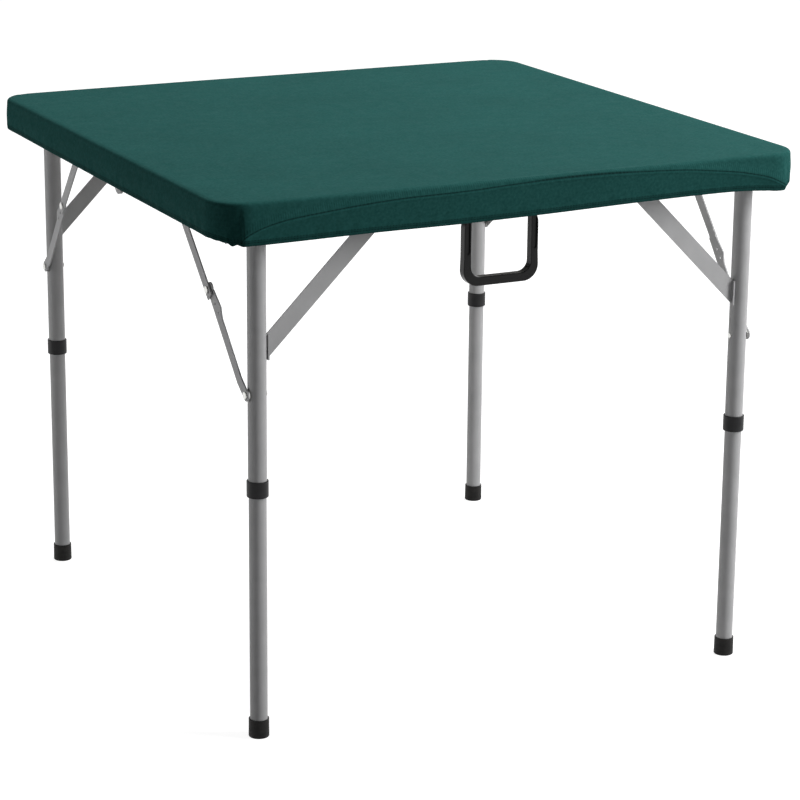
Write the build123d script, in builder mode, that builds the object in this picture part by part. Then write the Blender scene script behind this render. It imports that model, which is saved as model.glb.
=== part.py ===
from build123d import *
import math
import os

# Folding card table, 34 in square, that folds in half, with two folding leg frames and telescopic legs.
# Origin on the floor under the middle of the top, +Z up. X runs along the edge with the carrying handle,
# which faces -Y. The fold line runs along X at y = 0. Millimetres.

# Overall sizes
top_side = 864
table_height = 735
edge_depth = 46
corner_radius = 48
edge_round = 10
fold_gap = 1.0

# Stretch cover
cover_thickness = 1.0
cover_gap = 0.3
cover_seam_gap = 0.3
hem_tuck = 14

# Moulded table top halves
skin_thickness = 5.0
field_thickness = 17.5
ledge_thickness = 9.7
rim_foot_round = 2.5
front_rim = 17
side_rim = 18
ledge_rim = 13
fold_rim = 20
channel_inset = 92
dimple_width = 18
dimple_depth = 5
dimple_taper = 35
dimple_columns = 9
dimple_rows = 4
dimple_pitch_x = 68
dimple_pitch_y = 66
dimple_row_inset = 60

# Steel side rails, one along each side of each half
rail_thickness = 2.0
rail_inset = 32
rail_hang = 3.0
flange_width = 11
rail_end_inset = 16
rail_centre_gap = 26
crossbar_lug_radius = 13.5
fold_lug_radius = 13
fold_pivot_drop = 57.5
hinge_plate_reach = 62
hinge_plate_top_gap = 3.5
plate_rivet_radius = 3.0
plate_rivet_insets = (34, 52)

# Pivots, rivets and screws
pivot_radius = 3.0
fold_pin_radius = 4.0
pin_fit = 0.1
slide_gap = 0.3
lean_gap = 0.6
head_radius = 5.0
head_thickness = 1.5
screw_radius = 2.0
screw_head_radius = 4.0
screw_head_thickness = 2.2
screw_length = 6.0
screw_shares = (0.20, 0.43, 0.67, 0.91)

# Leg frames
leg_inset_x = 68
leg_inset_y = 42
tube_diameter = 25.0
tube_wall = 0.6
tube_fit = 0.05
tube_top_rise = 8
tube_end_wall = 1.5
crossbar_diameter = 20
crossbar_wall = 1.5
crossbar_drop = 35
crossbar_offset = 13
crossbar_overhang = 1.5
end_cap_radius = 11.5
end_cap_thickness = 3
end_cap_plug_length = 10
weld_gap = 0.05

# Gusset braces between each leg and its crossbar
gusset_width = 24
gusset_thickness = 2.0
gusset_drop = 180.5
gusset_rise = 4
gusset_tab_depth = 5

# Height adjustment
collar_radius = 14.6
collar_height_share = 0.457
collar_length = 22
collar_lip = 2.0
collar_round = 0.8
lower_wall = 1.0
lower_overlap = 40.5
foot_radius = 13.9
foot_taper = 0.5
foot_length = 25.5
foot_floor = 4.0
foot_round = 1.5
stop_gap = 0.5

# Snap buttons, drawn pressed in
button_radius = 2.9
button_hole_radius = 3.1
button_rise = 30.5
button_in_reach = 11.5
button_length = 6.0
button_flange_radius = 4.2
button_flange_thickness = 1.0
button_holes = 4
spring_width = 5
spring_thickness = 0.6
spring_height = 34

# Two-link folding braces on the outer side of each leg
link_width = 15.5
link_thickness = 2.0
link_gap = 1.0
leg_stud_drop = 226
rail_pivot_inset = 264
link_eye_radius = 8.0
link_tip = 11
knee_lobe_offset = 4.0
stud_washer = 1.6
rail_washer = 7.0
inner_head_radius = 3.4
inner_head_thickness = 0.8
knee_bend_share = 0.155
knee_bend_offset = 4.0
latch_start_share = 0.70
latch_full_share = 0.78
latch_end_share = 0.95
latch_width = 7.0
latch_hole_radius = 1.8
latch_hole_shares = (0.763, 0.853)

# Carrying handle
handle_inset = 69
handle_pivot_drop = 55
handle_width = 111
handle_flare = 1.5
handle_flare_rise = 40
handle_bottom_drop = 156
handle_arm = 10.5
handle_grip = 12
handle_thickness = 13
handle_outer_round = 22
handle_inner_round = 15
handle_edge_round = 1.2
handle_eye_radius = 8
web_recess = 2.0
web_margin = 2.4
web_end_drop = 12
web_stop_rise = 44
ear_thickness = 2.0
ear_gap = 0.6
ear_base = 2.5
ear_flange = 12

overrun = 1.0

# Places that follow from the sizes
half_side = top_side / 2
panel_edge = half_side - cover_thickness - cover_gap
panel_top = table_height - cover_thickness - cover_gap
rim_bottom = table_height - edge_depth + cover_thickness + cover_gap
panel_corner = corner_radius - cover_thickness - cover_gap
panel_round = edge_round - cover_thickness - cover_gap
channel_ceiling = panel_top - skin_thickness
field_ceiling = panel_top - field_thickness
ledge_ceiling = panel_top - ledge_thickness
channel_x = half_side - channel_inset
rail_x = half_side - rail_inset
screw_x = rail_x + rail_thickness + (flange_width - rail_thickness) / 2
screw_ys = [-panel_edge * share for share in screw_shares]
ledge_outer_x = panel_edge - side_rim
rim_inner_y = panel_edge - front_rim
leg_x = half_side - leg_inset_x
leg_y = half_side - leg_inset_y
tube_radius = tube_diameter / 2
lower_radius = tube_radius - tube_wall - tube_fit
crossbar_z = table_height - crossbar_drop
crossbar_y = leg_y + crossbar_offset
crossbar_radius = crossbar_diameter / 2
collar_bottom = table_height * collar_height_share
leg_travel = collar_bottom - foot_length - stop_gap
stud_z = crossbar_z - leg_stud_drop
rail_pivot_y = half_side - rail_pivot_inset
rail_pivot_z = crossbar_z + crossbar_offset
leg_link_x = leg_x + tube_radius + stud_washer + link_thickness / 2
rail_link_x = rail_x - rail_washer - link_thickness / 2
knee_x = (leg_link_x + rail_link_x) / 2
link_step = (link_thickness + link_gap) / 2

# When the frame lies folded, the leg stud comes to rest level with the rail pivot and just short of it.
# The two link lengths add up to the open span and differ by the folded span.
open_span = math.hypot(leg_y - rail_pivot_y, rail_pivot_z - stud_z)
folded_span = crossbar_y - leg_stud_drop - rail_pivot_y
lower_link_length = (open_span - folded_span) / 2
knee_share = lower_link_length / open_span
knee_y = leg_y + (rail_pivot_y - leg_y) * knee_share
knee_z = stud_z + (rail_pivot_z - stud_z) * knee_share

os.makedirs("parts", exist_ok=True)
corners = [(side, end) for end in ("front", "rear") for side in ("left", "right")]


def save(part, name):
    part.label = name
    export_step(part, f"parts/{name}.step")


def carried_to(part, side, end):
    """A front left piece, carried to another corner by mirroring."""
    if side == "right":
        part = part.mirror(Plane.YZ)
    if end == "rear":
        part = part.mirror(Plane.XZ)
    return part


def save_at_corners(part, name):
    for side, end in corners:
        save(carried_to(part, side, end), f"{name}_{end}_{side}")


def save_pair(part, end, name):
    """Both pieces of a left and right pair, grouped under one name."""
    pair = [solid for side in ("left", "right") for solid in carried_to(part, side, end).solids()]
    save(Compound(children=pair), name)


def save_at_ends(part, name):
    for end in ("front", "rear"):
        save(carried_to(part, "left", end), f"{end}_{name}")


def facing_back(part, end):
    """A part of the front left leg. On rear legs it is turned about the leg first, so that all face +Y."""
    if end == "rear":
        part = part.mirror(Plane.XZ.offset(leg_y))
    return part


def across(depth):
    """A plane that faces +X at x = depth, with its own x along Y and its own y along Z."""
    return Plane.YZ.offset(depth)


# Table top half: a blow moulded panel with a deep rim, a ribbed middle field and two leg channels
# that run out through the fold edge
with BuildPart() as tabletop_half:
    with BuildSketch(Plane.XY.offset(rim_bottom)) as half_outline:
        with BuildLine():
            Polyline(
                (-panel_edge, -fold_gap / 2),
                (-panel_edge, -panel_edge),
                (panel_edge, -panel_edge),
                (panel_edge, -fold_gap / 2),
                close=True,
            )
        make_face()
        fillet(half_outline.vertices().group_by(Axis.Y)[0], panel_corner)
    extrude(amount=panel_top - rim_bottom)
    top_edges = tabletop_half.faces().sort_by(Axis.Z)[-1].edges().sort_by(Axis.Y)[:-1]
    fillet(top_edges, panel_round)
    foot_edges = tabletop_half.faces().sort_by(Axis.Z)[0].edges().sort_by(Axis.Y)[:-1]
    fillet(foot_edges, rim_foot_round)
    field_length = rim_inner_y - fold_gap / 2 - fold_rim
    with BuildSketch(Plane.XY.offset(rim_bottom - overrun)):
        with Locations((0, -rim_inner_y + field_length / 2)):
            Rectangle(2 * channel_x, field_length)
    extrude(amount=field_ceiling - rim_bottom + overrun, mode=Mode.SUBTRACT)
    with BuildSketch(Plane.XY.offset(rim_bottom - overrun)):
        for sign in (-1, 1):
            with Locations((sign * (channel_x + rail_x) / 2, -rim_inner_y / 2)):
                Rectangle(rail_x - channel_x, rim_inner_y)
    extrude(amount=channel_ceiling - rim_bottom + overrun, mode=Mode.SUBTRACT)
    ledge_length = panel_edge - ledge_rim
    with BuildSketch(Plane.XY.offset(rim_bottom - overrun)):
        for sign in (-1, 1):
            with Locations((sign * (rail_x + ledge_outer_x) / 2, -ledge_length / 2)):
                Rectangle(ledge_outer_x - rail_x, ledge_length)
    extrude(amount=ledge_ceiling - rim_bottom + overrun, mode=Mode.SUBTRACT)
    dimple_y = fold_rim + dimple_row_inset + dimple_pitch_y * (dimple_rows - 1) / 2
    with BuildSketch(Plane.XY.offset(field_ceiling)):
        with Locations((0, -dimple_y)):
            with GridLocations(dimple_pitch_x, dimple_pitch_y, dimple_columns, dimple_rows):
                Rectangle(dimple_width, dimple_width)
    extrude(amount=dimple_depth, taper=dimple_taper, mode=Mode.SUBTRACT)
    with BuildSketch(Plane.XY.offset(ledge_ceiling)):
        with Locations([(sign * screw_x, screw_y) for sign in (-1, 1) for screw_y in screw_ys]):
            Circle(screw_radius)
    extrude(amount=screw_length - rail_thickness, mode=Mode.SUBTRACT)
save_at_ends(tabletop_half.part, "tabletop_half")

# Stretch cover: a thin fitted cap over the top, turned in under the rim to its elastic hem
cover_bottom = table_height - edge_depth
lining_side = half_side - cover_thickness
with BuildPart() as cover_inside:
    with BuildSketch(Plane.XY.offset(cover_bottom + cover_thickness)) as lining:
        with BuildLine():
            Polyline(
                (-lining_side, overrun),
                (-lining_side, -lining_side),
                (lining_side, -lining_side),
                (lining_side, overrun),
                close=True,
            )
        make_face()
        fillet(lining.vertices().group_by(Axis.Y)[0], corner_radius - cover_thickness)
    extrude(amount=edge_depth - 2 * cover_thickness)
    lining_edges = cover_inside.faces().sort_by(Axis.Z)[-1].edges().sort_by(Axis.Y)[:-1]
    fillet(lining_edges, edge_round - cover_thickness)

with BuildPart() as cover_half:
    with BuildSketch(Plane.XY.offset(cover_bottom)) as cover_outline:
        with BuildLine():
            Polyline(
                (-half_side, -cover_seam_gap),
                (-half_side, -half_side),
                (half_side, -half_side),
                (half_side, -cover_seam_gap),
                close=True,
            )
        make_face()
        fillet(cover_outline.vertices().group_by(Axis.Y)[0], corner_radius)
    extrude(amount=edge_depth)
    fillet(cover_half.faces().sort_by(Axis.Z)[-1].edges().sort_by(Axis.Y)[:-1], edge_round)
    add(cover_inside.part, mode=Mode.SUBTRACT)
    with BuildSketch(Plane.XY.offset(cover_bottom - overrun)) as hem_opening:
        hem_edge = half_side - hem_tuck
        with BuildLine():
            Polyline(
                (-hem_edge, overrun),
                (-hem_edge, -hem_edge),
                (hem_edge, -hem_edge),
                (hem_edge, overrun),
                close=True,
            )
        make_face()
        fillet(hem_opening.vertices().group_by(Axis.Y)[0], corner_radius - hem_tuck)
    extrude(amount=cover_thickness + 2 * overrun, mode=Mode.SUBTRACT)
save_at_ends(cover_half.part, "cover_half")

# Side rail: a steel angle with a round lug for the crossbar. The front one also carries the fold lug.
rail_bottom = rim_bottom + rail_hang
rail_middle = (rail_bottom + ledge_ceiling) / 2
web_height = ledge_ceiling - rail_bottom
rail_front_y = panel_edge - rail_end_inset
fold_pivot_z = table_height - fold_pivot_drop


def rail_flange(end_y):
    """Top flange of the rail, from its front end to end_y."""
    with BuildPart() as flange:
        with BuildSketch(Plane.XY.offset(ledge_ceiling - rail_thickness)):
            with Locations((-rail_x - flange_width / 2, -(end_y + rail_front_y) / 2)):
                Rectangle(flange_width, rail_front_y - end_y)
        extrude(amount=rail_thickness)
    return flange.part


def rail_holes():
    """Holes of the rail for the crossbar, the brace rivet and the screws."""
    with BuildPart() as holes:
        with BuildSketch(across(-rail_x - rail_thickness - overrun)):
            with Locations((-crossbar_y, crossbar_z)):
                Circle(crossbar_radius + pin_fit)
            with Locations((-rail_pivot_y, rail_pivot_z)):
                Circle(pivot_radius)
        extrude(amount=rail_thickness + 2 * overrun)
        with BuildSketch(Plane.XY.offset(ledge_ceiling - rail_thickness - overrun)):
            with Locations([(-screw_x, screw_y) for screw_y in screw_ys]):
                Circle(screw_radius)
        extrude(amount=rail_thickness + 2 * overrun)
    return holes.part


with BuildPart() as front_rail:
    with BuildSketch(across(-rail_x)):
        with Locations((-rail_front_y / 2, rail_middle)):
            Rectangle(rail_front_y, web_height)
        with Locations((-crossbar_y, crossbar_z)):
            Circle(crossbar_lug_radius)
        with Locations((0, fold_pivot_z)):
            Circle(fold_lug_radius)
        with BuildLine():
            Polyline(
                (-2 * fold_lug_radius, rail_bottom),
                (-fold_lug_radius, fold_pivot_z),
                (fold_lug_radius, fold_pivot_z),
                (fold_lug_radius, rail_bottom),
                (0, ledge_ceiling),
                (-2 * fold_lug_radius, ledge_ceiling),
                close=True,
            )
        make_face()
        with Locations((0, fold_pivot_z)):
            Circle(fold_pin_radius + pin_fit, mode=Mode.SUBTRACT)
    extrude(amount=-rail_thickness)
    add(rail_flange(fold_lug_radius))
    add(rail_holes(), mode=Mode.SUBTRACT)
for side in ("left", "right"):
    save(carried_to(front_rail.part, side, "front"), f"side_rail_front_{side}")

with BuildPart() as rear_rail:
    with BuildSketch(across(-rail_x)):
        with Locations((-(rail_centre_gap + rail_front_y) / 2, rail_middle)):
            Rectangle(rail_front_y - rail_centre_gap, web_height)
        with Locations((-crossbar_y, crossbar_z)):
            Circle(crossbar_lug_radius)
        with Locations([(-inset, rail_middle) for inset in plate_rivet_insets]):
            Circle(plate_rivet_radius, mode=Mode.SUBTRACT)
    extrude(amount=-rail_thickness)
    add(rail_flange(hinge_plate_reach + overrun))
    add(rail_holes(), mode=Mode.SUBTRACT)
for side in ("left", "right"):
    save(carried_to(rear_rail.part, side, "rear"), f"side_rail_rear_{side}")

# Fold hinge plate: riveted to the outside of the rear rail, it overlaps the lug of the front rail
plate_x = rail_x + rail_thickness + slide_gap
with BuildPart() as hinge_plate:
    plate_top = ledge_ceiling - hinge_plate_top_gap
    plate_bottom = rail_bottom + rail_hang
    with BuildSketch(across(-plate_x)):
        with Locations((0, fold_pivot_z)):
            Circle(fold_lug_radius)
        with BuildLine():
            Polyline(
                (0, fold_pivot_z + fold_lug_radius),
                (-fold_lug_radius, plate_top),
                (-hinge_plate_reach, plate_top),
                (-hinge_plate_reach, plate_bottom),
                (-2 * fold_lug_radius, plate_bottom),
                (-fold_lug_radius, fold_pivot_z),
                close=True,
            )
        make_face()
        with Locations((0, fold_pivot_z)):
            Circle(fold_pin_radius + pin_fit, mode=Mode.SUBTRACT)
        with Locations([(-inset, rail_middle) for inset in plate_rivet_insets]):
            Circle(plate_rivet_radius, mode=Mode.SUBTRACT)
    extrude(amount=-rail_thickness)
for side in ("left", "right"):
    save(carried_to(hinge_plate.part, side, "rear"), f"fold_hinge_plate_{side}")

# Fold hinge pins, one on each side, and the rivets that hold the hinge plates to the rear rails
pin_inner_x = rail_x - slide_gap - head_thickness
pin_outer_x = plate_x + rail_thickness + slide_gap
with BuildPart() as fold_pin:
    with BuildSketch(across(-pin_inner_x)):
        with Locations((0, fold_pivot_z)):
            Circle(fold_pin_radius)
    extrude(amount=-(pin_outer_x + head_thickness - pin_inner_x))
    for head_x in (pin_inner_x, pin_outer_x):
        with BuildSketch(across(-head_x)):
            with Locations((0, fold_pivot_z)):
                Circle(fold_pin_radius + head_thickness)
        extrude(amount=-head_thickness)
save_pair(fold_pin.part, "front", "fold_hinge_pins")

with BuildPart() as plate_rivets:
    for inset in plate_rivet_insets:
        with BuildSketch(across(-rail_x)):
            with Locations((-inset, rail_middle)):
                Circle(plate_rivet_radius)
        extrude(amount=-(pin_outer_x - slide_gap - rail_x))
        for head_x in (rail_x - head_thickness, pin_outer_x - slide_gap):
            with BuildSketch(across(-head_x)):
                with Locations((-inset, rail_middle)):
                    Circle(head_radius)
            extrude(amount=-head_thickness)
save_pair(plate_rivets.part, "rear", "hinge_plate_rivets")

# Pan head screws that hold the rails up to the moulded ledge
with BuildPart() as rail_screws:
    for sign in (-1, 1):
        for screw_y in screw_ys:
            with BuildSketch(Plane.XY.offset(ledge_ceiling - rail_thickness)):
                with Locations((sign * screw_x, screw_y)):
                    Circle(screw_head_radius)
            extrude(amount=-screw_head_thickness, taper=dimple_taper / 2)
            with BuildSketch(Plane.XY.offset(ledge_ceiling - rail_thickness)):
                with Locations((sign * screw_x, screw_y)):
                    Circle(screw_radius)
            extrude(amount=screw_length)
save_at_ends(rail_screws.part, "rail_screws")

# Crossbar: a tube that turns in the lugs of the two rails
crossbar_half = rail_x + rail_thickness + crossbar_overhang
with BuildPart() as crossbar:
    with BuildSketch(across(-crossbar_half)):
        with Locations((-crossbar_y, crossbar_z)):
            Circle(crossbar_radius)
            Circle(crossbar_radius - crossbar_wall, mode=Mode.SUBTRACT)
    extrude(amount=2 * crossbar_half)
save_at_ends(crossbar.part, "crossbar")

# Crossbar end caps: black plugs that keep the crossbar in its rails
with BuildPart() as crossbar_caps:
    for sign in (-1, 1):
        with BuildSketch(across(sign * crossbar_half)):
            with Locations((-crossbar_y, crossbar_z)):
                Circle(end_cap_radius)
        extrude(amount=sign * end_cap_thickness)
        with BuildSketch(across(sign * crossbar_half)):
            with Locations((-crossbar_y, crossbar_z)):
                Circle(crossbar_radius - crossbar_wall - weld_gap)
        extrude(amount=-sign * end_cap_plug_length)
save_at_ends(crossbar_caps.part, "crossbar_caps")

# Upper leg: a thin tube, closed at its top and coped round the crossbar that it is welded to
collar_top = collar_bottom + collar_length
tube_bottom = collar_bottom + collar_lip
tube_top = crossbar_z + tube_top_rise
button_z = tube_bottom + button_rise
with BuildPart() as button_bores:
    with BuildSketch(Plane.XZ.offset(leg_y)):
        step = leg_travel / (button_holes - 1)
        with Locations([(-leg_x, button_z + i * step) for i in range(button_holes)]):
            Circle(button_hole_radius)
    extrude(amount=-tube_diameter)

for end in ("front", "rear"):
    with BuildPart() as upper_leg:
        with BuildSketch(Plane.XY.offset(tube_bottom)):
            with Locations((-leg_x, -leg_y)):
                Circle(tube_radius)
        extrude(amount=tube_top - tube_bottom)
        with BuildSketch(Plane.XY.offset(tube_bottom)):
            with Locations((-leg_x, -leg_y)):
                Circle(tube_radius - tube_wall)
        extrude(amount=tube_top - tube_bottom - tube_end_wall, mode=Mode.SUBTRACT)
        with BuildSketch(across(-leg_x - tube_radius - overrun)):
            with Locations((-crossbar_y, crossbar_z)):
                Circle(crossbar_radius + weld_gap)
        extrude(amount=tube_diameter + 2 * overrun, mode=Mode.SUBTRACT)
        add(facing_back(button_bores.part, end), mode=Mode.SUBTRACT)
    for side in ("left", "right"):
        save(carried_to(upper_leg.part, side, end), f"upper_leg_{end}_{side}")

# Collar: a black sleeve round the end of the upper tube, with a lip that guides the lower one
with BuildPart() as collar:
    with BuildSketch(Plane.XY.offset(collar_bottom)):
        with Locations((-leg_x, -leg_y)):
            Circle(collar_radius)
            Circle(lower_radius + pin_fit, mode=Mode.SUBTRACT)
    extrude(amount=collar_lip)
    with BuildSketch(Plane.XY.offset(tube_bottom)):
        with Locations((-leg_x, -leg_y)):
            Circle(collar_radius)
            Circle(tube_radius + weld_gap, mode=Mode.SUBTRACT)
    extrude(amount=collar_length - collar_lip)
    rim_edges = collar.edges().filter_by(GeomType.CIRCLE).sort_by(SortBy.RADIUS)[-2:]
    fillet(rim_edges, collar_round)
save_at_corners(collar.part, "leg_collar")

# Lower leg: the tube that slides inside the upper one, with a hole for its snap button
lower_top = tube_bottom + lower_overlap
with BuildPart() as lower_leg:
    with BuildSketch(Plane.XY.offset(foot_floor)):
        with Locations((-leg_x, -leg_y)):
            Circle(lower_radius)
            Circle(lower_radius - lower_wall, mode=Mode.SUBTRACT)
    extrude(amount=lower_top - foot_floor)
    with BuildSketch(Plane.XZ.offset(leg_y)):
        with Locations((-leg_x, button_z)):
            Circle(button_hole_radius)
    extrude(amount=-tube_diameter, mode=Mode.SUBTRACT)
for side, end in corners:
    save(carried_to(facing_back(lower_leg.part, end), side, end), f"lower_leg_{end}_{side}")

# Foot: a tapered rubber cap pushed over the end of the lower tube
with BuildPart() as foot:
    with BuildSketch(Plane.XY):
        with Locations((-leg_x, -leg_y)):
            Circle(foot_radius)
    extrude(amount=foot_length, taper=foot_taper)
    fillet(foot.faces().sort_by(Axis.Z)[0].edges(), foot_round)
    with BuildSketch(Plane.XY.offset(foot_floor)):
        with Locations((-leg_x, -leg_y)):
            Circle(lower_radius + weld_gap)
    extrude(amount=foot_length, mode=Mode.SUBTRACT)
save_at_corners(foot.part, "foot_cap")

# Snap button: a domed pin on a bent leaf spring inside the lower tube, drawn pressed in
with BuildPart() as snap_button:
    button_back = button_in_reach - button_length
    with BuildSketch(Plane.XZ.offset(leg_y - button_back)):
        with Locations((-leg_x, button_z)):
            Circle(button_radius)
    extrude(amount=-button_length)
    fillet(snap_button.faces().sort_by(Axis.Y)[-1].edges(), button_radius / 2)
    with BuildSketch(Plane.XZ.offset(leg_y - button_back)):
        with Locations((-leg_x, button_z)):
            Circle(button_flange_radius)
    extrude(amount=button_flange_thickness)
    spring_y = -leg_y + button_back - button_flange_thickness
    with BuildSketch(across(-leg_x - spring_width / 2)):
        with BuildLine():
            Polyline(
                (spring_y, button_z + button_flange_radius),
                (spring_y, button_z - spring_height),
                (spring_y - spring_thickness, button_z - spring_height - spring_thickness),
                (spring_y - button_in_reach, button_z - button_flange_radius),
                (spring_y - button_in_reach - spring_thickness, button_z - button_flange_radius),
                (spring_y - 2 * spring_thickness, button_z - spring_height - 3 * spring_thickness),
                (spring_y + spring_thickness, button_z - spring_height - 3 * spring_thickness),
                (spring_y + spring_thickness, button_z + button_flange_radius),
                close=True,
            )
        make_face()
    extrude(amount=spring_width)
for side, end in corners:
    save(carried_to(facing_back(snap_button.part, end), side, end), f"snap_button_{end}_{side}")

# Gusset: a flat bar at 45 degrees from the leg to the crossbar, with a bent tab against the tube
with BuildPart() as gusset:
    gusset_foot_x = leg_x - tube_radius
    gusset_y = crossbar_y - crossbar_radius - weld_gap
    rise = math.hypot(gusset_width, gusset_width)
    gusset_low = crossbar_z - gusset_drop
    gusset_top = crossbar_z + gusset_rise
    with BuildSketch(Plane.XZ.offset(gusset_y)):
        with BuildLine():
            Polyline(
                (-gusset_foot_x, gusset_low),
                (-gusset_foot_x, gusset_low + rise),
                (-gusset_foot_x + gusset_top - gusset_low - rise, gusset_top),
                (-gusset_foot_x + gusset_top - gusset_low, gusset_top),
                close=True,
            )
        make_face()
    extrude(amount=-gusset_thickness)
    with BuildSketch(Plane.XZ.offset(gusset_y)):
        with Locations((-gusset_foot_x + gusset_thickness / 2, gusset_low + rise / 2)):
            Rectangle(gusset_thickness, rise)
    extrude(amount=gusset_tab_depth)
for end in ("front", "rear"):
    save_pair(gusset.part, end, f"{end}_leg_gussets")

# Brace links lie in planes that lean outwards from the leg to the rail
stud_point = Vector(-leg_link_x, -leg_y, stud_z)
lower_knee = Vector(-knee_x + link_step, -knee_y, knee_z)
upper_knee = Vector(-knee_x - link_step, -knee_y, knee_z)
rail_point = Vector(-rail_link_x, -rail_pivot_y, rail_pivot_z)


def link_plane(start, finish):
    """A plane through start whose x runs to finish, facing outwards from the table."""
    along = (finish - start).normalized()
    outward = Vector(-1, 0, 0)
    facing = (outward - along * outward.dot(along)).normalized()
    return Plane(origin=start, x_dir=along, z_dir=facing)


def pivot_bore(point, radius):
    """The bore of a pivot, along X through a link."""
    with BuildPart() as bore:
        with BuildSketch(across(point.X - link_width)):
            with Locations((point.Y, point.Z)):
                Circle(radius)
        extrude(amount=2 * link_width)
    return bore.part


# Lower link: bent near the leg and widened below the knee, where the latch plate is pressed out
with BuildPart() as lower_link:
    lower_span = (lower_knee - stud_point).length
    with BuildSketch(link_plane(stud_point, lower_knee)):
        bend = (lower_span * knee_bend_share, knee_bend_offset)
        half_width = link_width / 2
        with BuildLine():
            Polyline(
                (0, -half_width),
                (bend[0], bend[1] - half_width),
                (lower_span * latch_start_share, -half_width),
                (lower_span * latch_full_share, -half_width - latch_width),
                (lower_span * latch_end_share, -half_width - latch_width / 2),
                (lower_span, -half_width),
                (lower_span, half_width - link_thickness),
                (bend[0], bend[1] + half_width),
                (0, half_width),
                close=True,
            )
        make_face()
        Circle(link_eye_radius)
        with Locations((lower_span, -knee_lobe_offset)):
            Circle(link_eye_radius)
        with Locations([(lower_span * share, -half_width / 2) for share in latch_hole_shares]):
            Circle(latch_hole_radius, mode=Mode.SUBTRACT)
    extrude(amount=link_thickness / 2, both=True)
    add(pivot_bore(stud_point, pivot_radius + pin_fit), mode=Mode.SUBTRACT)
save_at_corners(lower_link.part, "brace_lower_link")

# Upper link: a plain bar with an eye at the rail and a squared end just past the knee
with BuildPart() as upper_link:
    upper_span = (rail_point - upper_knee).length
    with BuildSketch(link_plane(upper_knee, rail_point)):
        with Locations(((upper_span - link_tip) / 2, 0)):
            Rectangle(upper_span + link_tip, link_width)
        with Locations((upper_span, 0)):
            Circle(link_eye_radius)
    extrude(amount=link_thickness / 2, both=True)
    add(pivot_bore(rail_point, pivot_radius + pin_fit), mode=Mode.SUBTRACT)
    add(pivot_bore(upper_knee, pivot_radius), mode=Mode.SUBTRACT)
save_at_corners(upper_link.part, "brace_upper_link")

# Knee rivet: fast in the upper link, with its head outside
with BuildPart() as knee_rivet:
    inner_x = knee_x + link_step - link_thickness / 2
    with BuildSketch(across(-inner_x)):
        with Locations((-knee_y, knee_z)):
            Circle(pivot_radius - weld_gap)
    extrude(amount=-link_thickness - lean_gap)
    with BuildSketch(across(-inner_x - link_thickness - lean_gap)):
        with Locations((-knee_y, knee_z)):
            Circle(head_radius)
    extrude(amount=-head_thickness)
save_at_corners(knee_rivet.part, "knee_rivet")

# Studs on the outer side of each leg, that the lower links turn on, and their small heads on the inner side
with BuildPart() as brace_studs:
    for sign in (-1, 1):
        tube_face = leg_x + tube_radius
        link_face = leg_link_x + link_thickness / 2 + lean_gap
        with BuildSketch(across(sign * tube_face)):
            with Locations((-leg_y, stud_z)):
                Circle(pivot_radius)
        extrude(amount=sign * (link_face - tube_face))
        with BuildSketch(across(sign * tube_face)):
            with Locations((-leg_y, stud_z)):
                Circle(link_eye_radius - head_thickness)
        extrude(amount=sign * (stud_washer - lean_gap))
        with BuildSketch(across(sign * link_face)):
            with Locations((-leg_y, stud_z)):
                Circle(head_radius)
        extrude(amount=sign * head_thickness)
        with BuildSketch(across(sign * (leg_x - tube_radius))):
            with Locations((-leg_y, stud_z)):
                Circle(inner_head_radius)
        extrude(amount=-sign * inner_head_thickness)
save_at_ends(brace_studs.part, "brace_studs")

# Rivets that carry the upper links on the rails
with BuildPart() as rail_rivets:
    for sign in (-1, 1):
        head_face = rail_link_x - link_thickness / 2 - lean_gap
        with BuildSketch(across(sign * head_face)):
            with Locations((-rail_pivot_y, rail_pivot_z)):
                Circle(pivot_radius)
        extrude(amount=sign * (rail_x + rail_thickness - head_face))
        with BuildSketch(across(sign * head_face)):
            with Locations((-rail_pivot_y, rail_pivot_z)):
                Circle(head_radius)
        extrude(amount=-sign * head_thickness)
        with BuildSketch(across(sign * rail_x)):
            with Locations((-rail_pivot_y, rail_pivot_z)):
                Circle(head_radius)
        extrude(amount=-sign * (rail_washer - lean_gap))
        with BuildSketch(across(sign * (rail_x + rail_thickness))):
            with Locations((-rail_pivot_y, rail_pivot_z)):
                Circle(head_radius)
        extrude(amount=sign * head_thickness)
save_at_ends(rail_rivets.part, "brace_rail_rivets")

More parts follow.
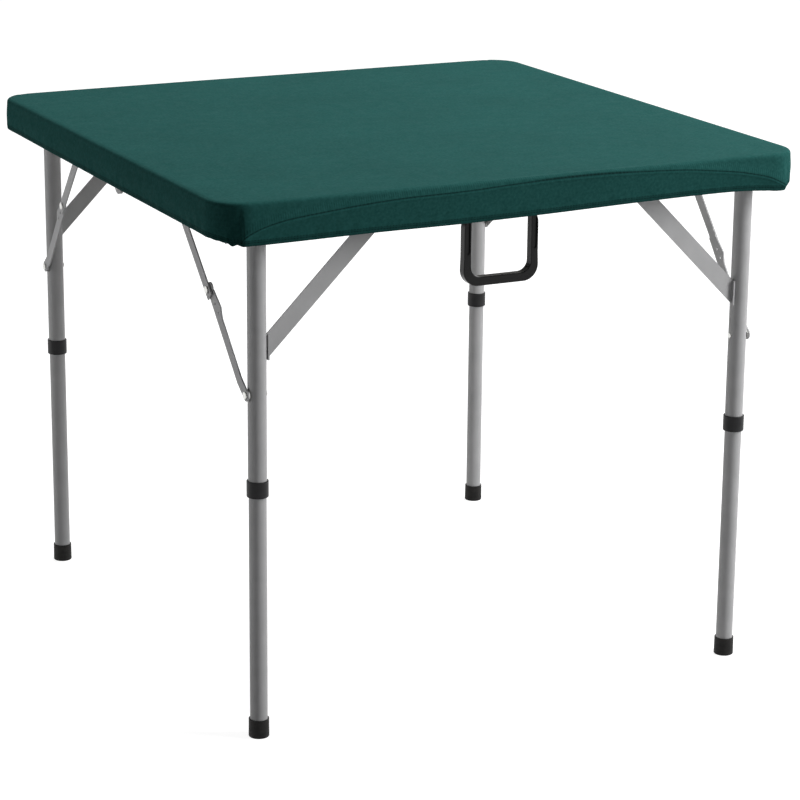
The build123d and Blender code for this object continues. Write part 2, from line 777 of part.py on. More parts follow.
# Carrying handle: a moulded bow with ribbed arms, hung from two ears under the top
handle_y = half_side - handle_inset
handle_pivot_z = table_height - handle_pivot_drop
handle_bottom = table_height - handle_bottom_drop
arm_x = (handle_width - handle_arm) / 2
with BuildPart() as handle:
    with BuildSketch(Plane.XZ.offset(handle_y - handle_thickness / 2)) as bow:
        with BuildLine():
            Polyline(
                (-handle_width / 2, handle_pivot_z),
                (-handle_width / 2, handle_bottom + handle_flare_rise),
                (-handle_width / 2 - handle_flare, handle_bottom),
                (handle_width / 2 + handle_flare, handle_bottom),
                (handle_width / 2, handle_bottom + handle_flare_rise),
                (handle_width / 2, handle_pivot_z),
                close=True,
            )
        make_face()
        fillet(bow.vertices().group_by(Axis.Z)[0], handle_outer_round)
    extrude(amount=handle_thickness)
    with BuildSketch(Plane.XZ.offset(handle_y - handle_thickness / 2 - overrun)) as bow_opening:
        with BuildLine():
            Polyline(
                (-handle_width / 2 + handle_arm, handle_pivot_z + handle_eye_radius + overrun),
                (-handle_width / 2 + handle_arm, handle_bottom + handle_grip),
                (handle_width / 2 - handle_arm, handle_bottom + handle_grip),
                (handle_width / 2 - handle_arm, handle_pivot_z + handle_eye_radius + overrun),
                close=True,
            )
        make_face()
        fillet(bow_opening.vertices().group_by(Axis.Z)[0], handle_inner_round)
    extrude(amount=handle_thickness + 2 * overrun, mode=Mode.SUBTRACT)
    fillet(handle.faces().filter_by(Axis.Y).edges(), handle_edge_round)
    web_low = handle_bottom + web_stop_rise
    web_high = handle_pivot_z - web_end_drop
    for face in (-1, 1):
        with BuildSketch(Plane.XZ.offset(handle_y + face * handle_thickness / 2)):
            with Locations([(sign * arm_x, (web_low + web_high) / 2) for sign in (-1, 1)]):
                SlotOverall(web_high - web_low, handle_arm - 2 * web_margin, rotation=90)
        extrude(amount=-face * web_recess, mode=Mode.SUBTRACT)
    for sign in (-1, 1):
        with BuildSketch(across(sign * arm_x - handle_arm / 2)):
            with Locations((-handle_y, handle_pivot_z)):
                Circle(handle_eye_radius)
        extrude(amount=handle_arm)
        with BuildSketch(across(sign * arm_x - handle_arm / 2)):
            with Locations((-handle_y, handle_pivot_z)):
                Circle(pivot_radius + pin_fit)
        extrude(amount=handle_arm, mode=Mode.SUBTRACT)
save(handle.part, "carry_handle")

# Handle brackets: two moulded blocks screwed under the top, each with a pair of ears
ear_bottom = handle_pivot_z - handle_eye_radius
with BuildPart() as handle_brackets:
    for sign in (-1, 1):
        for ear in (-1, 1):
            ear_x = sign * arm_x + ear * (handle_arm / 2 + ear_gap + ear_thickness / 2)
            with BuildSketch(across(ear_x - ear_thickness / 2)):
                with Locations((-handle_y, (handle_pivot_z + field_ceiling) / 2)):
                    Rectangle(2 * handle_eye_radius, field_ceiling - handle_pivot_z)
                with Locations((-handle_y, handle_pivot_z)):
                    Circle(handle_eye_radius)
                    Circle(pivot_radius, mode=Mode.SUBTRACT)
            extrude(amount=ear_thickness)
        with BuildSketch(Plane.XY.offset(field_ceiling - ear_base)):
            with Locations((sign * arm_x, -handle_y)):
                Rectangle(handle_arm + 2 * (ear_gap + ear_thickness + ear_flange), 2 * handle_eye_radius)
        extrude(amount=ear_base)
save(handle_brackets.part, "handle_brackets")

# Pins that the handle swings on, fast in the ears
with BuildPart() as handle_pins:
    for sign in (-1, 1):
        reach = handle_arm / 2 + ear_gap + ear_thickness
        with BuildSketch(across(sign * arm_x - reach)):
            with Locations((-handle_y, handle_pivot_z)):
                Circle(pivot_radius - weld_gap)
        extrude(amount=2 * reach)
        for end in (-1, 1):
            with BuildSketch(across(sign * arm_x + end * reach)):
                with Locations((-handle_y, handle_pivot_z)):
                    Circle(head_radius)
            extrude(amount=end * head_thickness)
save(handle_pins.part, "handle_pins")
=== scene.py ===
import math

import bmesh
import bpy
from mathutils import Matrix, Vector


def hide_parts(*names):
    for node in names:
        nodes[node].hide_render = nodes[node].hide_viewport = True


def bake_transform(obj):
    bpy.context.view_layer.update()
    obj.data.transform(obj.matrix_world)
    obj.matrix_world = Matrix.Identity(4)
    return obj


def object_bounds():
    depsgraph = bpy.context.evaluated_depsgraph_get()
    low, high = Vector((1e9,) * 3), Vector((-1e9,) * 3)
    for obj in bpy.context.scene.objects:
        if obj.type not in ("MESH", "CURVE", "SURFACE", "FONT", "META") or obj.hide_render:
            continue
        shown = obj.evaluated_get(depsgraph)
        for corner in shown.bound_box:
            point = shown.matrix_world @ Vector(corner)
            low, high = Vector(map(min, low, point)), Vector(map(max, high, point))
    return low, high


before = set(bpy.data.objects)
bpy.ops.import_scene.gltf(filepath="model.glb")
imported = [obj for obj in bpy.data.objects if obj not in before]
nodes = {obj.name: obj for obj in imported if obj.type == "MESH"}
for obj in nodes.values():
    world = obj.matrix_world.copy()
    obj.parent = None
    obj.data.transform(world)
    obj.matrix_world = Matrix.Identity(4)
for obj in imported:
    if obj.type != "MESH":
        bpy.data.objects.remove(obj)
cad_low, cad_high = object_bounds()
ends = ("front", "rear")
corners = [(end, side) for end in ends for side in ("left", "right")]
top = cad_high.z
half_side = cad_high.x


# Leg frames, rails and braces
# All the steel of the table is thin tube and strip with one silver grey powder coat. The legs, gussets and
# crossbars are welded into two frames, the rails are rolled angles and the brace links are flat stampings.

# Noise stays mostly between these two values, so colour and roughness are spread between them.
noise_low = 0.3
noise_high = 0.7


def new_material(name, colour, roughness, metallic=0.0, specular=0.5):
    """A material with its shader and node tree, ready for noise in its colour, roughness and bump."""
    material = bpy.data.materials.new(name)
    material.use_nodes = True
    tree = material.node_tree
    shader = tree.nodes["Principled BSDF"]
    shader.inputs["Base Color"].default_value = (*colour, 1)
    shader.inputs["Roughness"].default_value = roughness
    shader.inputs["Metallic"].default_value = metallic
    shader.inputs["Specular IOR Level"].default_value = specular
    material.diffuse_color = (*colour, 1)
    return material, shader, tree


def own_place(tree):
    """Place on the piece itself, in metres, so that a pattern moves with it."""
    return tree.nodes.new("ShaderNodeTexCoord").outputs["Object"]


def object_noise(tree, scale, detail=4.0):
    """Noise on the piece's own place, with scale in turns per metre."""
    noise = tree.nodes.new("ShaderNodeTexNoise")
    noise.inputs["Scale"].default_value = scale
    noise.inputs["Detail"].default_value = detail
    tree.links.new(own_place(tree), noise.inputs["Vector"])
    return noise.outputs["Fac"]


def two_tones(tree, fac, dark, light):
    """Colour that runs from dark to light with fac."""
    ramp = tree.nodes.new("ShaderNodeValToRGB")
    first, last = ramp.color_ramp.elements
    first.position, first.color = noise_low, (*dark, 1)
    last.position, last.color = noise_high, (*light, 1)
    tree.links.new(fac, ramp.inputs["Fac"])
    return ramp.outputs["Color"]


def vary_colour(tree, shader, fac, dark, light):
    """Base colour that runs between two tones with fac."""
    tree.links.new(two_tones(tree, fac, dark, light), shader.inputs["Base Color"])


def vary_roughness(tree, shader, fac, low, high):
    """Roughness that runs from low to high with fac."""
    spread = tree.nodes.new("ShaderNodeMapRange")
    spread.inputs["From Min"].default_value = noise_low
    spread.inputs["From Max"].default_value = noise_high
    spread.inputs["To Min"].default_value = low
    spread.inputs["To Max"].default_value = high
    tree.links.new(fac, spread.inputs["Value"])
    tree.links.new(spread.outputs["Result"], shader.inputs["Roughness"])


def add_bump(tree, shader, fac, distance, strength=1.0):
    """Surface relief of distance metres from fac."""
    bump = tree.nodes.new("ShaderNodeBump")
    bump.inputs["Distance"].default_value = distance
    bump.inputs["Strength"].default_value = strength
    tree.links.new(fac, bump.inputs["Height"])
    tree.links.new(bump.outputs["Normal"], shader.inputs["Normal"])


def dress(names, material):
    """Gives the named CAD nodes one material."""
    for name in names:
        materials = nodes[name].data.materials
        materials.clear()
        materials.append(material)


powder_coat, shader, tree = new_material(
    "silver_powder_coat", (0.43, 0.43, 0.435), roughness=0.45, metallic=0.04, specular=0.16)
vary_colour(tree, shader, object_noise(tree, scale=35), dark=(0.41, 0.41, 0.415), light=(0.45, 0.45, 0.455))
vary_roughness(tree, shader, object_noise(tree, scale=220), low=0.42, high=0.48)
add_bump(tree, shader, object_noise(tree, scale=900, detail=2), distance=0.00004)
steel_nodes = ["fold_hinge_plate_left", "fold_hinge_plate_right"]
for end in ends:
    steel_nodes += [f"{end}_crossbar", f"{end}_leg_gussets"]
for end, side in corners:
    steel_nodes += [f"side_rail_{end}_{side}", f"upper_leg_{end}_{side}", f"lower_leg_{end}_{side}"]
    steel_nodes += [f"brace_lower_link_{end}_{side}", f"brace_upper_link_{end}_{side}"]
dress(steel_nodes, powder_coat)


# Rivets, pins, screws and snap buttons
# Small turned and headed steel parts with a bright zinc plate, pressed or screwed in at the factory.
zinc_plate, shader, tree = new_material("zinc_plate", (0.62, 0.62, 0.60), roughness=0.3, metallic=1.0)
vary_colour(tree, shader, object_noise(tree, scale=160), dark=(0.52, 0.52, 0.50), light=(0.70, 0.70, 0.68))
vary_roughness(tree, shader, object_noise(tree, scale=500), low=0.22, high=0.42)
zinc_nodes = ["fold_hinge_pins", "hinge_plate_rivets", "handle_pins"]
for end in ends:
    zinc_nodes += [f"{end}_rail_screws", f"{end}_brace_studs", f"{end}_brace_rail_rivets"]
for end, side in corners:
    zinc_nodes += [f"knee_rivet_{end}_{side}", f"snap_button_{end}_{side}"]
dress(zinc_nodes, zinc_plate)


# Collars, crossbar plugs and handle brackets
# Black injection moulded nylon with a fine spark-eroded grain. The collars are pushed over the ends of the
# upper tubes and guide the lower ones.
black_nylon, shader, tree = new_material("black_nylon", (0.012, 0.012, 0.013), roughness=0.42, specular=0.18)
vary_colour(tree, shader, object_noise(tree, scale=60),
            dark=(0.010, 0.010, 0.011), light=(0.017, 0.017, 0.018))
vary_roughness(tree, shader, object_noise(tree, scale=700), low=0.34, high=0.50)
add_bump(tree, shader, object_noise(tree, scale=1400, detail=3), distance=0.00006)
nylon_nodes = ["handle_brackets"] + [f"{end}_crossbar_caps" for end in ends]
nylon_nodes += [f"leg_collar_{end}_{side}" for end, side in corners]
dress(nylon_nodes, black_nylon)


# Feet
# Black rubber caps, pushed over the ends of the lower tubes. They are duller than the nylon and a little
# dusty.
foot_rubber, shader, tree = new_material("foot_rubber", (0.014, 0.014, 0.014), roughness=0.62, specular=0.15)
vary_colour(tree, shader, object_noise(tree, scale=90),
            dark=(0.011, 0.011, 0.011), light=(0.022, 0.021, 0.020))
vary_roughness(tree, shader, object_noise(tree, scale=300), low=0.52, high=0.72)
add_bump(tree, shader, object_noise(tree, scale=600, detail=5), distance=0.0001)
dress([f"foot_cap_{end}_{side}" for end, side in corners], foot_rubber)


# Carrying handle
# A one piece moulding in glossy black plastic, with an I-section in its arms, that swings on two pins
# under the front edge.
gloss_black, shader, tree = new_material(
    "gloss_black_plastic", (0.005, 0.005, 0.005), roughness=0.14, specular=0.12)
shader.inputs["Coat Weight"].default_value = 0.08
shader.inputs["Coat Roughness"].default_value = 0.06
vary_colour(tree, shader, object_noise(tree, scale=40),
            dark=(0.004, 0.004, 0.004), light=(0.007, 0.007, 0.007))
vary_roughness(tree, shader, object_noise(tree, scale=260), low=0.11, high=0.18)
add_bump(tree, shader, object_noise(tree, scale=120, detail=2), distance=0.00003)
dress(["carry_handle"], gloss_black)


# Table top halves
# Two blow moulded polyethylene panels in warm white, with a pebbled skin that shows only from below,
# because the cover hides the rest.
pebbles_per_metre = 650
pebbled_white, shader, tree = new_material("pebbled_white_plastic", (0.68, 0.67, 0.63), roughness=0.5)
vary_colour(tree, shader, object_noise(tree, scale=25), dark=(0.65, 0.64, 0.60), light=(0.70, 0.69, 0.66))
vary_roughness(tree, shader, object_noise(tree, scale=400), low=0.44, high=0.58)
pebbles = tree.nodes.new("ShaderNodeTexVoronoi")
pebbles.inputs["Scale"].default_value = pebbles_per_metre
tree.links.new(own_place(tree), pebbles.inputs["Vector"])
add_bump(tree, shader, pebbles.outputs["Distance"], distance=0.00025)
dress([f"{end}_tabletop_half" for end in ends], pebbled_white)


# Stretch cover
# One fitted cover of dark green knitted polyester, pulled over the whole top. Its top cloth wraps the corners
# and two sides; the other two sides have a curved side panel under an arched seam. An elastic hem holds it
# tucked under the rim, where it gathers at the corners.
cover_shadow = (0.0105, 0.062, 0.0565)
cover_light = (0.0180, 0.085, 0.0785)
corner_radius = 0.048
least_radius = 0.0006
edge_round = 0.0050
hem_roll = 0.0022
side_length = 2 * (half_side - corner_radius) + corner_radius * math.pi / 2

# Heights of the seam and of the hem, as (place along the side, height above the floor).
seam_line = (
    (-0.400, 0.6900), (-0.390, 0.6970), (-0.374, 0.7035), (-0.348, 0.7096), (-0.326, 0.7126),
    (-0.294, 0.7158), (-0.239, 0.7205), (-0.182, 0.7238), (-0.086, 0.7256), (-0.022, 0.7285),
    (0.045, 0.7306), (0.145, 0.7303), (0.240, 0.7262), (0.293, 0.7205), (0.324, 0.7165),
    (0.345, 0.7124), (0.373, 0.7055), (0.388, 0.6990), (0.406, 0.6885))
hem_seamed = (
    (-0.422, 0.6838), (-0.414, 0.6812), (-0.404, 0.6807), (-0.363, 0.6796), (-0.217, 0.6811),
    (-0.100, 0.6811), (0.031, 0.6830), (0.165, 0.6863), (0.258, 0.6880), (0.330, 0.6880),
    (0.379, 0.6850), (0.402, 0.6835), (0.422, 0.6890))
hem_plain = (
    (-0.422, 0.6890), (-0.250, 0.6880), (0.000, 0.6870), (0.384, 0.6865), (0.404, 0.6860), (0.422, 0.6838))

# The mesh: a grid on top, rings out to the edge, rows down the side, and rings round and under the hem.
grid_half = 0.378
grid_count = 200
column_share = 0.80
top_rings = (0.046, 0.038, 0.030, 0.023, 0.017, 0.013, 0.010)
rows_above = 22
rows_below = 18
side_rows = rows_above + rows_below
above_crowding = 0.8
below_crowding = 0.6
hem_steps = 6
tuck_rings = (0.007, 0.0105, 0.0135)
grid_sink = 0.00015
ring_sink = 0.0001
top_swell = 0.00012
swell_waves = ((9, 4), (-3, 7))

# Relief of the side, in metres outwards. Each part of the seam is (place above it, width, height): its
# groove, the folded edge below it and the cloth that it draws up above it. Names in _part are the start
# and end of an effect in shares of the way down, names in _reach in metres from the nearest corner.
seam_parts = ((0.0, 0.0009, -0.0006), (-0.0024, 0.0013, 0.0005), (0.004, 0.0035, 0.0003))
seam_lean = 0.0055
lean_curve = 1.5
lean_fade = 0.013
seam_hides = 0.0006
seam_clears = 0.006
no_seam_near = 0.2
side_belly = 0.0012
belly_part = (0.1, 1.0)
side_draw = 0.0003
lower_part = (0.45, 1.0)
gather_height = 0.0007
gather_reach = (0.020, 0.075)
pleat_height = 0.0020
pleat_part = (0.72, 1.0)
pleat_reach = (0.012, 0.040)
plain_pleats = 0.2
ruffle_drop = 0.0013
ruffle_part = (0.8, 1.0)
ripple_height = 0.0007
ripple_fade = 0.004
tuck_step = 0.0004
tuck_pleat = 0.0004
tuck_pleat_turns = 150


def eased(value, start, stop):
    """Smooth step from 0 at start to 1 at stop."""
    t = min(max((value - start) / (stop - start), 0), 1)
    return t * t * (3 - 2 * t)


def follow(line, x):
    """Height at x on a smooth curve through the points of line."""
    x = min(max(x, line[0][0]), line[-1][0])
    step = next(i for i in range(len(line) - 1) if x <= line[i + 1][0])
    around = [line[min(max(step + k, 0), len(line) - 1)] for k in (-1, 0, 1, 2)]
    (x0, z0), (x1, z1), (x2, z2), (x3, z3) = around
    slope_in = (z2 - z0) / (x2 - x0)
    slope_out = (z3 - z1) / (x3 - x1)
    span = x2 - x1
    t = (x - x1) / span
    blend_in, blend_out = t * (1 - t) ** 2 * span, t * t * (1 - t) * span
    return z1 + (z2 - z1) * t * t * (3 - 2 * t) + slope_in * blend_in - slope_out * blend_out


def wandering_wave(run, turns, wander, drift, start=0.0, lag=0.0):
    """Wave from -1 to 1 along the run with uneven spacing; turns and drift are in radians per metre."""
    return math.sin(run * turns + wander * math.sin(run * drift + start) + lag)


def spread_column(u):
    """Places even columns along a side, from -1 to 1, closer together towards the corners."""
    return math.sin(u * math.pi / 2 * column_share) / math.sin(math.pi / 2 * column_share)


def rim_place(side_index, u, inset):
    """Point and outward normal of the rounded square at share u (-1..1) along a side, moved in by inset."""
    half = half_side - inset
    radius = max(corner_radius - inset, least_radius)
    straight = half - radius
    quarter = radius * math.pi / 4
    run = spread_column(u) * (straight + quarter)
    if abs(run) <= straight:
        x, y = run, -half
        nx, ny = 0.0, -1.0
    else:
        angle = (abs(run) - straight) / radius
        nx, ny = math.sin(angle), -math.cos(angle)
        x, y = straight + radius * nx, -straight + radius * ny
        if run < 0:
            x, nx = -x, -nx
    turn = Matrix.Rotation(side_index * math.pi / 2, 2)
    return turn @ Vector((x, y)), turn @ Vector((nx, ny))


def path_length(height):
    """Length of cloth from the start of the rounded edge down to a height."""
    depth = top - height
    if depth < edge_round:
        return edge_round * math.acos(1 - depth / edge_round)
    return edge_round * math.pi / 2 + depth - edge_round


def path_place(length):
    """Inset, height and slope angle at a length of cloth below the start of the rounded edge."""
    if length < edge_round * math.pi / 2:
        angle = length / edge_round
        return edge_round * (1 - math.sin(angle)), top - edge_round * (1 - math.cos(angle)), angle
    return 0.0, top - edge_round - (length - edge_round * math.pi / 2), math.pi / 2


def seam_relief(side_index, from_seam, seam_length):
    """How far the cloth stands out round the seam; the front one also leans out."""
    relief = 0.0
    for place, width, height in seam_parts:
        relief += height * math.exp(-((from_seam - place) / width) ** 2)
    if side_index == 0 and from_seam > 0:
        relief += seam_lean * (1 - from_seam / seam_length) ** lean_curve
    elif side_index == 0:
        relief += seam_lean * math.exp(from_seam / lean_fade)
    return relief


def side_point(side_index, u, row):
    """Point, normal and seam and hem distances of the cover at share u of a side and a row."""
    seamed = side_index % 2 == 0
    run = spread_column(u) * side_length / 2
    hem_length = path_length(follow(hem_seamed if seamed else hem_plain, run) + hem_roll)
    seam_length = hem_length - seam_hides
    shows = 0.0
    if seamed and seam_line[0][0] < run < seam_line[-1][0]:
        seam_length = min(seam_length, path_length(follow(seam_line, run)))
        shows = eased(hem_length - seam_length, seam_hides, seam_clears)
    if row <= rows_above:
        share = 1 - row / rows_above
        length = seam_length * (1 - share ** (above_crowding + above_crowding * shows))
    else:
        share = (row - rows_above) / rows_below
        length = seam_length + (hem_length - seam_length) * share ** (1 + below_crowding * shows)
    inset, height, angle = path_place(length)
    from_seam, from_hem = seam_length - length, hem_length - length

    depth = length / hem_length
    low = eased(depth, *lower_part)
    bow = side_belly * math.sin(math.pi * eased(depth, *belly_part)) - side_draw * low
    bow += shows * seam_relief(side_index, from_seam, seam_length)
    to_corner = side_length / 2 - abs(run)
    gather = 1 - eased(to_corner, *gather_reach)
    frill = 1 - eased(to_corner, *pleat_reach) if seamed and run < 0 else plain_pleats * gather
    pleats = 0.5 + 0.5 * wandering_wave(run, turns=640, wander=1.5, drift=170, start=side_index)
    bow += pleat_height * frill * eased(depth, *pleat_part) * pleats + gather_height * gather * low
    ripple = 0.5 + 0.5 * wandering_wave(run, turns=190, wander=2.2, drift=47, start=side_index, lag=0.8)
    bow += ripple_height * low * ripple * eased(from_hem, 0.0, ripple_fade)
    ruffle = wandering_wave(run, turns=410, wander=1.9, drift=120)
    drop = ruffle_drop * frill * ruffle * eased(depth, *ruffle_part)

    place, normal = rim_place(side_index, u, inset)
    out = place + normal * bow * math.sin(angle)
    point = Vector((*out, height + bow * math.cos(angle) - drop))
    return point, normal, (run, from_seam, from_hem, shows)


def hem_shift(side_index, share, step, normal):
    """How far a ring of the hem lies from the bottom of the side: rolled round first, then tucked under."""
    if step < hem_steps:
        angle = (step + 1) / hem_steps * math.pi / 2
        inward, drop = hem_roll * (1 - math.cos(angle)), hem_roll * math.sin(angle)
    else:
        inward = tuck_rings[step - hem_steps]
        pleat = tuck_pleat * math.sin(share * tuck_pleat_turns + side_index)
        drop = hem_roll - tuck_step * (step - hem_steps) - pleat
    return Vector((*(normal * inward), drop))


mesh = bmesh.new()
bmesh.ops.create_grid(mesh, x_segments=grid_count, y_segments=grid_count, size=grid_half)
share_layer = mesh.verts.layers.float.new("along")
side_layer = mesh.verts.layers.int.new("side")
layer_names = ("run", "from_seam", "from_hem", "seam_shows")
pattern_layers = [mesh.verts.layers.float.new(name) for name in layer_names]
run_layer, from_seam_layer, from_hem_layer = pattern_layers[:3]
for vert in mesh.verts:
    u, v = vert.co.x / grid_half, vert.co.y / grid_half
    swell = top_swell
    for turns_across, turns_back in swell_waves:
        swell *= math.sin(u * turns_across + v * turns_back)
    vert.co = Vector((grid_half * spread_column(u), grid_half * spread_column(v), top - grid_sink + swell))
    vert[from_seam_layer] = vert[from_hem_layer] = no_seam_near
edges = [edge for edge in mesh.edges if edge.is_boundary]
for vert in {vert for edge in edges for vert in edge.verts}:
    x, y = vert.co.x, vert.co.y
    if abs(y) >= abs(x) and y < 0 and not (x == -y and x > 0):
        side_index, run = 0, x
    elif abs(x) >= abs(y) and x > 0:
        side_index, run = 1, y
    elif abs(y) >= abs(x) and y > 0:
        side_index, run = 2, -x
    else:
        side_index, run = 3, -y
    arc = math.asin(max(-1, min(1, run / grid_half * math.sin(math.pi / 2 * column_share))))
    vert[share_layer] = arc / (math.pi / 2 * column_share)
    vert[side_layer] = side_index

# The run at the middle of each side, so that it goes on round every corner but the rear right one.
side_middles = (0, side_length, -2 * side_length, -side_length)
for ring in range(len(top_rings) + side_rows + hem_steps + len(tuck_rings)):
    made = bmesh.ops.extrude_edge_only(mesh, edges=edges)["geom"]
    edges = [item for item in made if isinstance(item, bmesh.types.BMEdge) and item.is_boundary]
    for vert in {vert for edge in edges for vert in edge.verts}:
        side_index, share = vert[side_layer], vert[share_layer]
        if ring < len(top_rings):
            place, normal = rim_place(side_index, share, top_rings[ring])
            vert.co = Vector((*place, top - ring_sink + ring_sink * (ring + 1) / len(top_rings)))
            continue
        row = min(ring - len(top_rings) + 1, side_rows)
        point, normal, pattern = side_point(side_index, share, row)
        for layer, value in zip(pattern_layers, pattern):
            vert[layer] = value
        vert[run_layer] += side_middles[side_index]
        step = ring - len(top_rings) - side_rows
        vert.co = point - hem_shift(side_index, share, step, normal) if step >= 0 else point
bmesh.ops.recalc_face_normals(mesh, faces=mesh.faces)
for face in mesh.faces:
    face.smooth = True
cover_mesh = bpy.data.meshes.new("stretch_cover")
mesh.to_mesh(cover_mesh)
mesh.free()
cover = bpy.data.objects.new("stretch_cover", cover_mesh)
bpy.context.scene.collection.objects.link(cover)


def pattern_value(tree, name):
    """One of the cover's own values along its cloth, read from the mesh."""
    reader = tree.nodes.new("ShaderNodeAttribute")
    reader.attribute_name = name
    return reader.outputs["Fac"]


def combine(tree, operation, first, second=0.0):
    """A math node over two values or numbers."""
    node = tree.nodes.new("ShaderNodeMath")
    node.operation = operation
    for socket, value in zip(node.inputs, (first, second)):
        if isinstance(value, (int, float)):
            socket.default_value = value
        else:
            tree.links.new(value, socket)
    return node.outputs[0]


def stripe(tree, value, centre, width):
    """1 on a line at centre, falling to 0 at width on either side."""
    away = combine(tree, "ABSOLUTE", combine(tree, "SUBTRACT", value, centre))
    share = combine(tree, "DIVIDE", away, width)
    return combine(tree, "MAXIMUM", combine(tree, "SUBTRACT", 1.0, share), 0.0)


def wave(tree, run, turns):
    """Wave from -1 to 1 along the run, with turns in radians per metre."""
    return combine(tree, "SINE", combine(tree, "MULTIPLY", run, turns))


def beaded(tree, line, run, turns, swing):
    """A line whose strength swings along the run, full at its crests."""
    beads = combine(tree, "ADD", 1 - swing, combine(tree, "MULTIPLY", wave(tree, run, turns), swing))
    return combine(tree, "MULTIPLY", line, beads)


def shade_by(tree, shade, operation, value, amount):
    """The shade made darker or lighter by amount where value is 1."""
    return combine(tree, operation, shade, combine(tree, "MULTIPLY", value, amount))


green_knit, shader, tree = new_material("green_stretch_knit", cover_light, roughness=0.8, specular=0.02)
shader.inputs["Sheen Weight"].default_value = 0.03
shader.inputs["Sheen Roughness"].default_value = 0.5
shader.inputs["Sheen Tint"].default_value = (0.25, 0.60, 0.56, 1)
vary_roughness(tree, shader, object_noise(tree, scale=60), low=0.74, high=0.88)
run, from_seam, from_hem, seam_shows = [pattern_value(tree, name) for name in layer_names]
hem_shade_height = 0.0052
pull_relief = 0.6
# Painted shade: the cloth is darkened along the seam groove, in dots where the seam puckers.
groove_shade = combine(tree, "MULTIPLY", stripe(tree, from_seam, centre=0.0, width=0.0012), seam_shows)
groove_shade = beaded(tree, groove_shade, run, turns=1140, swing=0.15)
# Painted highlight: a lighter line along the folded edge just below the seam, dotted like stitches.
fold_highlight = combine(tree, "MULTIPLY", stripe(tree, from_seam, centre=-0.0026, width=0.0013), seam_shows)
fold_highlight = beaded(tree, fold_highlight, run, turns=1900, swing=0.25)
# Painted light and shade: the pull ribs above the seam are lightened and darkened in colour as well as raised
# in relief.
pulled = combine(tree, "MULTIPLY", stripe(tree, from_seam, centre=0.006, width=0.007), seam_shows)
pulls = combine(tree, "MULTIPLY", wave(tree, run, turns=1960), pulled)
# Painted shade: the bottom 5 mm of the side and the hem rolled and tucked under the rim are darkened.
hem_shade = combine(tree, "LESS_THAN", from_hem, hem_shade_height)
upper_line = stripe(tree, from_hem, centre=0.0056, width=0.0010)
lower_line = stripe(tree, from_hem, centre=0.0026, width=0.0008)
hem_stitch_lines = beaded(tree, combine(tree, "MAXIMUM", upper_line, lower_line), run, turns=1500, swing=0.35)
cloud = combine(tree, "SUBTRACT", object_noise(tree, scale=8, detail=3), 0.5)
shade = shade_by(tree, 1.0, "SUBTRACT", groove_shade, amount=0.80)
shade = shade_by(tree, shade, "SUBTRACT", hem_shade, amount=0.30)
shade = shade_by(tree, shade, "SUBTRACT", hem_stitch_lines, amount=0.60)
shade = shade_by(tree, shade, "ADD", fold_highlight, amount=0.40)
shade = shade_by(tree, shade, "ADD", pulls, amount=0.15)
shade = shade_by(tree, shade, "ADD", cloud, amount=0.28)
yarn = two_tones(tree, object_noise(tree, scale=260, detail=5), cover_shadow, cover_light)
# The yarn's own tones times the shade, which holds painted shade and highlights at the seam, the hem and the
# pull ribs besides the stitches and cloudy tone.
yarn_with_painted_light = tree.nodes.new("ShaderNodeVectorMath")
yarn_with_painted_light.operation = "SCALE"
tree.links.new(yarn, yarn_with_painted_light.inputs["Vector"])
tree.links.new(shade, yarn_with_painted_light.inputs["Scale"])
tree.links.new(yarn_with_painted_light.outputs["Vector"], shader.inputs["Base Color"])
relief = combine(tree, "ADD", object_noise(tree, scale=520), combine(tree, "MULTIPLY", pulls, pull_relief))
add_bump(tree, shader, relief, distance=0.00020, strength=0.7)
cover_mesh.materials.append(green_knit)
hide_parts("front_cover_half", "rear_cover_half")
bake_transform(cover)


# Floor, light and camera
# A plain white sweep under three soft studio lamps, seen from the photograph's place with a long lens. The
# white shows to the camera and in gloss only; a faint sky and the lamps light the table.
floor_glow = 0.90
floor_tone = 0.35
floor_radius = 40
sky_strength = 0.09
backdrop_strength = 1.0


def seen_directly(tree):
    """1 for the camera and for what shows in metal or gloss, 0 for the light that falls on the table."""
    ray = tree.nodes.new("ShaderNodeLightPath")
    seen = combine(tree, "MAXIMUM", ray.outputs["Is Camera Ray"], ray.outputs["Is Glossy Ray"])
    return combine(tree, "MAXIMUM", seen, ray.outputs["Is Transmission Ray"])


floor_mesh = bpy.data.meshes.new("floor")
mesh = bmesh.new()
bmesh.ops.create_circle(mesh, cap_ends=True, segments=96, radius=floor_radius)
mesh.to_mesh(floor_mesh)
mesh.free()
floor = bpy.data.objects.new("floor", floor_mesh)
bpy.context.scene.collection.objects.link(floor)
floor_white, shader, tree = new_material("floor_white", (floor_tone,) * 3, roughness=0.9)
add_bump(tree, shader, object_noise(tree, scale=40), distance=0.0002)
glow = tree.nodes.new("ShaderNodeEmission")
glow.inputs["Color"].default_value = (1, 1, 1, 1)
tree.links.new(combine(tree, "MULTIPLY", seen_directly(tree), floor_glow), glow.inputs["Strength"])
lit_and_glowing = tree.nodes.new("ShaderNodeAddShader")
tree.links.new(shader.outputs["BSDF"], lit_and_glowing.inputs[0])
tree.links.new(glow.outputs["Emission"], lit_and_glowing.inputs[1])
tree.links.new(lit_and_glowing.outputs["Shader"], tree.nodes["Material Output"].inputs["Surface"])
floor_mesh.materials.append(floor_white)

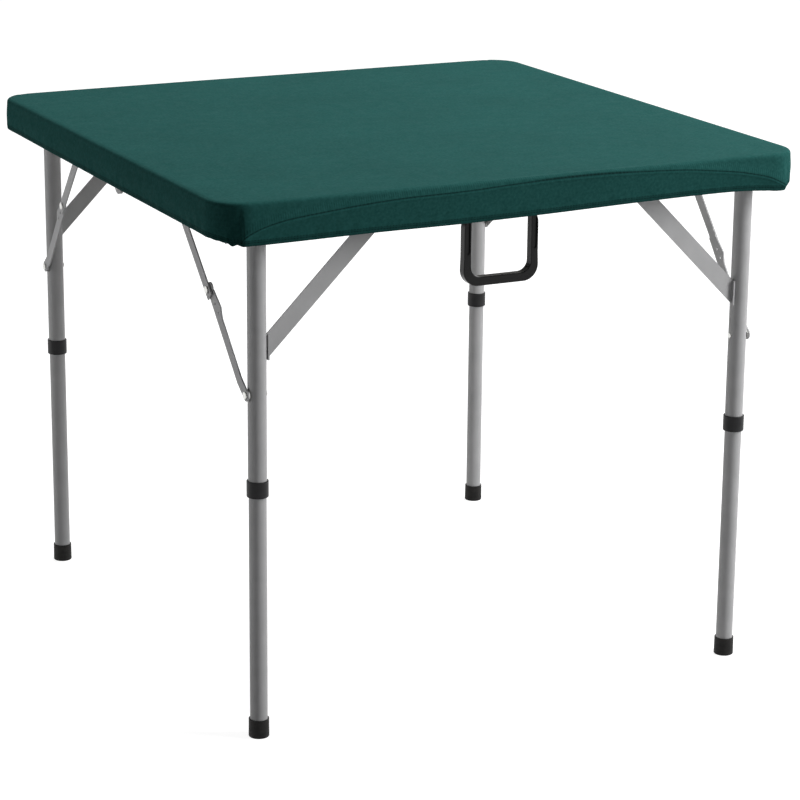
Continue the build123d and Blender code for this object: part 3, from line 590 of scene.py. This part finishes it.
world = bpy.data.worlds.new("studio")
bpy.context.scene.world = world
world.use_nodes = True
tree = world.node_tree
sky = tree.nodes["Background"]
sky.inputs["Color"].default_value = (1, 1, 1, 1)
sky.inputs["Strength"].default_value = sky_strength
backdrop = tree.nodes.new("ShaderNodeBackground")
backdrop.inputs["Color"].default_value = (1, 1, 1, 1)
backdrop.inputs["Strength"].default_value = backdrop_strength
mix = tree.nodes.new("ShaderNodeMixShader")
tree.links.new(seen_directly(tree), mix.inputs["Fac"])
tree.links.new(sky.outputs["Background"], mix.inputs[1])
tree.links.new(backdrop.outputs["Background"], mix.inputs[2])
tree.links.new(mix.outputs["Shader"], tree.nodes["World Output"].inputs["Surface"])


def add_lamp(name, place, target, width, height, power):
    """A softbox at place, facing target, with power in watts."""
    lamp = bpy.data.lights.new(name, "AREA")
    lamp.shape = "RECTANGLE"
    lamp.size = width
    lamp.size_y = height
    lamp.energy = power
    holder = bpy.data.objects.new(name, lamp)
    holder.location = place
    holder.rotation_euler = (Vector(target) - Vector(place)).to_track_quat("-Z", "Y").to_euler()
    bpy.context.scene.collection.objects.link(holder)


add_lamp("overhead_softbox", place=(2.2, 0.9, 4.2), target=(0, 0, 0.5), width=2.6, height=2.6, power=176)
add_lamp("key_softbox", place=(2.4, -1.95, 1.9), target=(0, 0, 0.45), width=1.0, height=2.1, power=97)
add_lamp("rim_softbox", place=(-3.2, 1.4, 0.3), target=(0, 0, 0.5), width=0.6, height=1.2, power=28)

photo_width = 800
focal_pixels = 2808.956
optical_centre = (359.489, 410.762)
camera_place = (-1.73313, -3.58548, 1.47491)
camera_yaw = math.radians(-25.367892)
camera_pitch = math.radians(16.401452)
camera_roll = math.radians(-0.288166)
camera_data = bpy.data.cameras.new("photo_camera")
camera_data.sensor_width = 36
camera_data.lens = focal_pixels * camera_data.sensor_width / photo_width
camera_data.shift_x = (photo_width / 2 - optical_centre[0]) / photo_width
camera_data.shift_y = (optical_centre[1] - photo_width / 2) / photo_width
camera_data.clip_end = 200
camera = bpy.data.objects.new("photo_camera", camera_data)
turn = Matrix.Rotation(camera_yaw, 4, "Z") @ Matrix.Rotation(math.pi / 2 - camera_pitch, 4, "X")
turn = turn @ Matrix.Rotation(-camera_roll, 4, "Z")
camera.matrix_world = Matrix.Translation(camera_place) @ turn
bpy.context.scene.collection.objects.link(camera)
bpy.context.scene.camera = camera
bpy.context.scene.view_settings.view_transform = "Standard"
